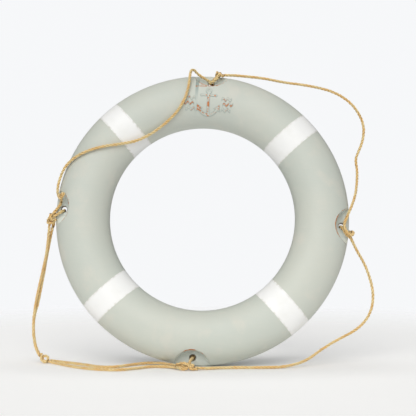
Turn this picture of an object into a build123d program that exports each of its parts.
from build123d import *
from math import cos, hypot, pi, radians, sin, tan
import os

# Ring lifebuoy leaning back on its rim, with its grab line knotted through the four line holes.
# The front face looks along -Y, +Z is up, and the lowest point of the ring is at z = 0.

# ---------- Driving dimensions, in millimetres and degrees ----------
OUTER_DIAMETER = 720
INNER_DIAMETER = 455
SECTION_DEPTH = 104          # thickness of the ring along its own axis
LEAN = 9.8                   # the top leans back by this much
ROLL = 3.6                   # the ring is rolled clockwise, as seen from the front

SHELL_WALL = 2.5             # moulded wall
FOAM_GAP = 0.2               # clearance between the wall and the foam

POCKET_ANGLES = (0, 90, 180, 270)    # anticlockwise from the ring's own right
POCKET_RADIUS = 44.5         # half-moon pocket in the rim
POCKET_CENTRE = 369.5        # distance of a pocket's centre from the ring's axis
WEB_HALF = 7.0               # half the thickness of the web between two pockets
HOLE_RADIUS = 7.0            # line hole through the web
HOLE_CENTRE = 341.0          # distance of a line hole from the ring's axis

BAND_WIDTH = 55.0
BAND_THICKNESS = 0.8
BAND_RECESS = 0.6
BAND_ANGLES = {
    "band_upper_right": 45,
    "band_upper_left": 135,
    "band_lower_left": 225,
    "band_lower_right": 315,
}

PLUG_HEAD_RADIUS = 12.5
PLUG_HEAD_THICKNESS = 1.5
PLUG_SEAT_DEPTH = 1.7
PLUG_STEM_RADIUS = 8.0
PLUG_STEM_LENGTH = 9.0
PLUG_CLEARANCE = 0.15
PLUG_ANGLES = {"fill_plug": 247.0, "vent_plug": 67.0}

ROPE_DIAMETER = 7.0

# ---------- Frame of the ring: x to its own right, y to its own top, z out of its front ----------
HALF_WIDTH = (OUTER_DIAMETER - INNER_DIAMETER) / 4     # section's half width across the rim
HALF_DEPTH = SECTION_DEPTH / 2
TUBE_RADIUS = (OUTER_DIAMETER + INNER_DIAMETER) / 4    # circle through the section's centre
CENTRE_HEIGHT = TUBE_RADIUS * cos(radians(LEAN)) + hypot(
    HALF_WIDTH * cos(radians(LEAN)), HALF_DEPTH * sin(radians(LEAN))
)
ring_centre = Vector(0, 0, CENTRE_HEIGHT)
ring_axis = Vector(0, -cos(radians(LEAN)), sin(radians(LEAN)))
ring_up = Vector(0, sin(radians(LEAN)), cos(radians(LEAN)))
ring_right = Vector(1, 0, 0) * cos(radians(ROLL)) - ring_up * sin(radians(ROLL))
ring_plane = Plane(origin=ring_centre, x_dir=ring_right, z_dir=ring_axis)
turning_axis = Axis(ring_centre, ring_axis)


def section_plane(angle):
    """Plane through the ring's axis at this angle: x points outwards, y along the axis."""
    outwards = ring_plane.x_dir.rotate(Axis((0, 0, 0), ring_axis), angle)
    return Plane(origin=ring_centre, x_dir=outwards, z_dir=outwards.cross(ring_axis))


def ring_point(angle, radius, ahead):
    """Point at an angle and radius in the ring's own plane, this far ahead of mid-plane."""
    outwards = ring_plane.x_dir.rotate(Axis((0, 0, 0), ring_axis), angle)
    return ring_centre + outwards * radius + ring_axis * ahead


# ---------- Ring body, made as four quarters that meet under the middle of the bands ----------
def in_ring_plane(angle, distance):
    """Place on a plane parallel to the ring's, at an angle and a distance from its axis."""
    return distance * cos(radians(angle)), distance * sin(radians(angle))


def solid_quarter(angle, inset):
    """Quarter of the ring centred on this angle, with its surface inset below the skin."""
    with BuildPart() as quarter:
        with BuildSketch(section_plane(angle - 45)):
            with Locations((TUBE_RADIUS, 0)):
                Ellipse(HALF_WIDTH - inset, HALF_DEPTH - inset)
        revolve(axis=turning_axis, revolution_arc=90)
    return quarter.part


def inner_quarter(angle, inset):
    """Quarter of the space inside the shell, which stays clear of the pockets and their web."""
    with BuildPart() as quarter:
        add(solid_quarter(angle, inset))
        with BuildSketch(ring_plane):
            with Locations(in_ring_plane(angle, POCKET_CENTRE)):
                Circle(POCKET_RADIUS + inset)
        extrude(amount=SECTION_DEPTH, both=True, mode=Mode.SUBTRACT)
    return quarter.part


def shell_quarter(angle):
    """Quarter of the hollow shell: a pocket in the rim from each side, and a hole in the web."""
    with BuildPart() as quarter:
        add(solid_quarter(angle, 0))
        for side in (1, -1):
            with BuildSketch(ring_plane.offset(side * WEB_HALF)):
                with Locations(in_ring_plane(angle, POCKET_CENTRE)):
                    Circle(POCKET_RADIUS)
            extrude(amount=side * SECTION_DEPTH, mode=Mode.SUBTRACT)
        with BuildSketch(ring_plane):
            with Locations(in_ring_plane(angle, HOLE_CENTRE)):
                Circle(HOLE_RADIUS)
        extrude(amount=SECTION_DEPTH, both=True, mode=Mode.SUBTRACT)
        add(inner_quarter(angle, SHELL_WALL), mode=Mode.SUBTRACT)
    return quarter.part


def band_wrap(angle, outer_inset, inner_inset):
    """Sleeve of constant width around the section, between two insets below the skin."""
    arc = 16
    with BuildPart() as wrap:
        with BuildSketch(section_plane(angle - arc / 2)):
            with Locations((TUBE_RADIUS, 0)):
                Ellipse(HALF_WIDTH - outer_inset, HALF_DEPTH - outer_inset)
                Ellipse(HALF_WIDTH - inner_inset, HALF_DEPTH - inner_inset, mode=Mode.SUBTRACT)
        revolve(axis=turning_axis, revolution_arc=arc)
        with BuildSketch(section_plane(angle)):
            with Locations((TUBE_RADIUS, 0)):
                Rectangle(3 * HALF_WIDTH, 3 * HALF_DEPTH)
        extrude(amount=BAND_WIDTH / 2, both=True, mode=Mode.INTERSECT)
    return wrap.part


plug_seats = {
    name: Plane(origin=ring_point(angle, TUBE_RADIUS, -HALF_DEPTH), z_dir=-ring_axis)
    for name, angle in PLUG_ANGLES.items()
}

with BuildPart() as ring_shell:
    for angle in POCKET_ANGLES:
        add(shell_quarter(angle))
    for angle in BAND_ANGLES.values():
        add(band_wrap(angle, -BAND_RECESS, BAND_RECESS), mode=Mode.SUBTRACT)
    for seat in plug_seats.values():
        with BuildSketch(seat):
            Circle(PLUG_HEAD_RADIUS + PLUG_CLEARANCE)
        extrude(amount=-PLUG_SEAT_DEPTH, mode=Mode.SUBTRACT)
        with BuildSketch(seat):
            Circle(PLUG_STEM_RADIUS + PLUG_CLEARANCE)
        extrude(amount=-2 * SHELL_WALL, mode=Mode.SUBTRACT)

with BuildPart() as foam_core:
    for angle in POCKET_ANGLES:
        add(inner_quarter(angle, SHELL_WALL + FOAM_GAP))
    for seat in plug_seats.values():
        with BuildSketch(seat):
            Circle(PLUG_STEM_RADIUS + 2 * PLUG_CLEARANCE)
        extrude(amount=-(PLUG_STEM_LENGTH + PLUG_SEAT_DEPTH), mode=Mode.SUBTRACT)

pieces = {"ring_shell": ring_shell.part, "foam_core": foam_core.part}

for name, angle in BAND_ANGLES.items():
    pieces[name] = band_wrap(angle, BAND_RECESS - BAND_THICKNESS, BAND_RECESS)

for name, seat in plug_seats.items():
    head_plane = seat.offset(PLUG_HEAD_THICKNESS - PLUG_SEAT_DEPTH)
    with BuildPart() as plug:
        with BuildSketch(head_plane):
            Circle(PLUG_HEAD_RADIUS)
        extrude(amount=-PLUG_HEAD_THICKNESS)
        with BuildSketch(head_plane):
            Circle(PLUG_STEM_RADIUS)
        extrude(amount=-PLUG_STEM_LENGTH)
        chamfer(plug.faces().sort_by(Axis((0, 0, 0), ring_axis))[-1].edges(), 1.0)
    pieces[name] = plug.part

# ---------- Knots: rounded barrels, each given by its two ends and its radius ----------
KNOTS = {
    "knot_top": ((18, 41, 691), (38, 44, 715), 8.0),
    "knot_right": ((342, -21, 335), (361, -25, 312), 8.0),
    "knot_bottom": ((-50, -130, 11), (-16, -130, 11), 10.5),
    "knot_lower_left": ((-395, -20, 11), (-374, -22, 10), 9.5),
    "knot_left": ((-375, -5, 341), (-373, -5, 368), 10.5),
    "knot_at_left_edge": ((-352, -14, 404), (-338, -38, 414), 6.5),
}
STOPPER_RADIUS = 8.5
STOPPER_AHEAD = -16.5        # behind the web of the bottom pocket


def knot_barrel(low_end, high_end, radius):
    """Barrel with well rounded ends, along the line between its two end points."""
    along = Vector(*high_end) - Vector(*low_end)
    middle = (Vector(*high_end) + Vector(*low_end)) * 0.5
    with BuildPart(Plane(origin=middle, z_dir=along)) as barrel:
        Cylinder(radius, along.length)
        fillet(barrel.edges().filter_by(GeomType.CIRCLE), 0.7 * radius)
    return barrel.part


for name, (low_end, high_end, radius) in KNOTS.items():
    pieces[name] = knot_barrel(low_end, high_end, radius)

bottom_pocket = POCKET_ANGLES[3]
pieces["knot_behind_web"] = knot_barrel(
    ring_point(bottom_pocket, HOLE_CENTRE, STOPPER_AHEAD - STOPPER_RADIUS),
    ring_point(bottom_pocket, HOLE_CENTRE, STOPPER_AHEAD + STOPPER_RADIUS),
    STOPPER_RADIUS,
)

# ---------- Grab line: routes of the rope's centre line, in millimetres ----------
ROUTES = {
    # Out of the top knot, in a stiff fold above the rim, over the front, down to the left knot
    "line_upper_left": [
        (17, 42, 696), (6, 41, 703), (-9, 36, 711), (-22, 29, 725), (-29, 20, 721),
        (-31, 9, 702), (-33, 0, 683), (-37, -7, 664), (-45, -11, 643), (-61, -10, 616),
        (-91, -6, 587), (-128, -6, 560), (-162, -13, 544), (-196, -23, 537),
        (-234, -30, 532), (-272, -29, 523), (-307, -21, 508), (-334, -9, 487),
        (-347, -10, 461), (-354, -10, 438), (-356, -10, 421), (-347, -8, 411),
        (-350, -8, 400), (-347, -8, 389), (-355, -9, 377), (-364, -9, 367),
    ],
    # Out of the top knot, bowed out to the right and down to the right knot
    "line_upper_right": [
        (37, 44, 711), (64, 54, 714), (107, 60, 711), (156, 63, 706), (204, 67, 696),
        (250, 71, 691), (290, 74, 684), (328, 77, 674), (367, 79, 652), (394, 80, 620),
        (407, 78, 585), (403, 74, 549), (391, 69, 521), (383, 65, 502), (387, 57, 475),
        (384, 38, 444), (378, 15, 412), (368, -9, 383), (356, -20, 357), (346, -21, 337),
    ],
    # Out of the right knot, bowed out and down to the floor, along it to the bottom knot
    "line_lower_right": [
        (358, -24, 316), (367, -17, 297), (380, -6, 273), (397, 3, 246), (411, 6, 212),
        (420, 5, 174), (418, 0, 140), (404, -6, 108), (375, -13, 81), (330, -23, 60),
        (289, -39, 38), (250, -60, 12), (199, -98, 4), (144, -105, 4), (90, -106, 4),
        (45, -112, 4), (12, -124, 4), (-13, -132, 6),
    ],
    # Two lengths along the floor, side by side and then apart
    "line_floor_back": [
        (-371, -21, 7), (-355, -20, 5), (-329, -32, 4), (-297, -53, 4), (-261, -85, 4),
        (-227, -110, 4), (-195, -100, 4), (-165, -63, 4), (-133, -43, 5), (-100, -63, 8),
        (-71, -99, 10), (-49, -125, 10),
    ],
    "line_floor_front": [
        (-374, -30, 6), (-353, -43, 4), (-325, -77, 4), (-296, -106, 4), (-263, -130, 4),
        (-226, -148, 4), (-188, -152, 4), (-152, -125, 4), (-121, -95, 4), (-93, -93, 4),
        (-68, -107, 5), (-52, -131, 7),
    ],
    # Two lengths side by side from the lower left knot up to the left knot
    "line_left_outer": [
        (-398, -20, 18), (-408, -15, 34), (-414, -12, 60), (-416, -8, 87), (-415, -4, 114),
        (-411, -2, 146), (-404, -1, 180), (-394, 0, 225), (-385, -2, 262), (-379, -6, 304),
        (-375, -9, 338),
    ],
    "line_left_inner": [
        (-396, -14, 16), (-407, -8, 30), (-414, -4, 56), (-417, 1, 86), (-416, 5, 113),
        (-406, 4, 145), (-399, 3, 180), (-391, 7, 224), (-385, 6, 261), (-375, 1, 306),
        (-366, -3, 338),
    ],
    # Loops from a knot through a line hole and back round the rim, or to a knot behind the web
    "loop_left": [
        (-366, -11, 362), (-354, -13, 369), (-341, -11, 376), (-340, 4, 376), (-342, 18, 373),
        (-356, 22, 365), (-369, 12, 357), (-373, 2, 355),
    ],
    "loop_right": [
        (345, -20, 331), (340, -18, 334), (338, -7, 335), (338, 5, 334), (342, 18, 331),
        (355, 20, 325), (367, 10, 320), (371, -6, 316), (363, -20, 314),
    ],
    "loop_top": [
        (20, 41, 697), (18, 45, 692), (21, 56, 691), (24, 69, 690), (27, 80, 692),
        (31, 86, 703), (34, 78, 718), (37, 62, 724), (37, 49, 716),
    ],
    "strand_bottom": [
        (-27, -120, 16), (-25, -104, 19), (-23, -87, 21), (-21, -70, 21), (-21, -55, 19),
        (-21, -42, 17),
    ],
}


def turn_between(before, here, after):
    """Turn of the route at a point, in degrees."""
    return (Vector(*here) - Vector(*before)).get_angle(Vector(*after) - Vector(*here))


def bend_radii(route):
    """The largest arc that each corner's two runs allow, with a tenth of each run kept straight."""
    radii = []
    for before, here, after in zip(route, route[1:], route[2:]):
        arriving = (Vector(*here) - Vector(*before)).length
        leaving = (Vector(*after) - Vector(*here)).length
        half_turn = radians(turn_between(before, here, after) / 2)
        radii.append(0.45 * min(arriving, leaving) / tan(half_turn))
    return radii


def rope(name, route):
    """Plain round rope along straight runs joined by tangent arcs."""
    radii = bend_radii(route)
    with BuildPart() as cord:
        with BuildLine() as centre_line:
            FilletPolyline(*route, radius=radii)
        path = centre_line.wire()
        with BuildSketch(Plane(origin=path @ 0, z_dir=path % 0)):
            Circle(ROPE_DIAMETER / 2)
        sweep(path=path)
    share = cord.part.volume / (pi * (ROPE_DIAMETER / 2) ** 2 * path.length)
    print(f"{name}: {path.length:.0f} long, smallest radius {min(radii):.0f}, volume share {share:.4f}")
    return cord.part


for name, route in ROUTES.items():
    pieces[name] = rope(name, route)

# ---------- One STEP file per piece ----------
os.makedirs("parts", exist_ok=True)
for name, piece in pieces.items():
    piece.label = name
    export_step(piece, f"parts/{name}.step")
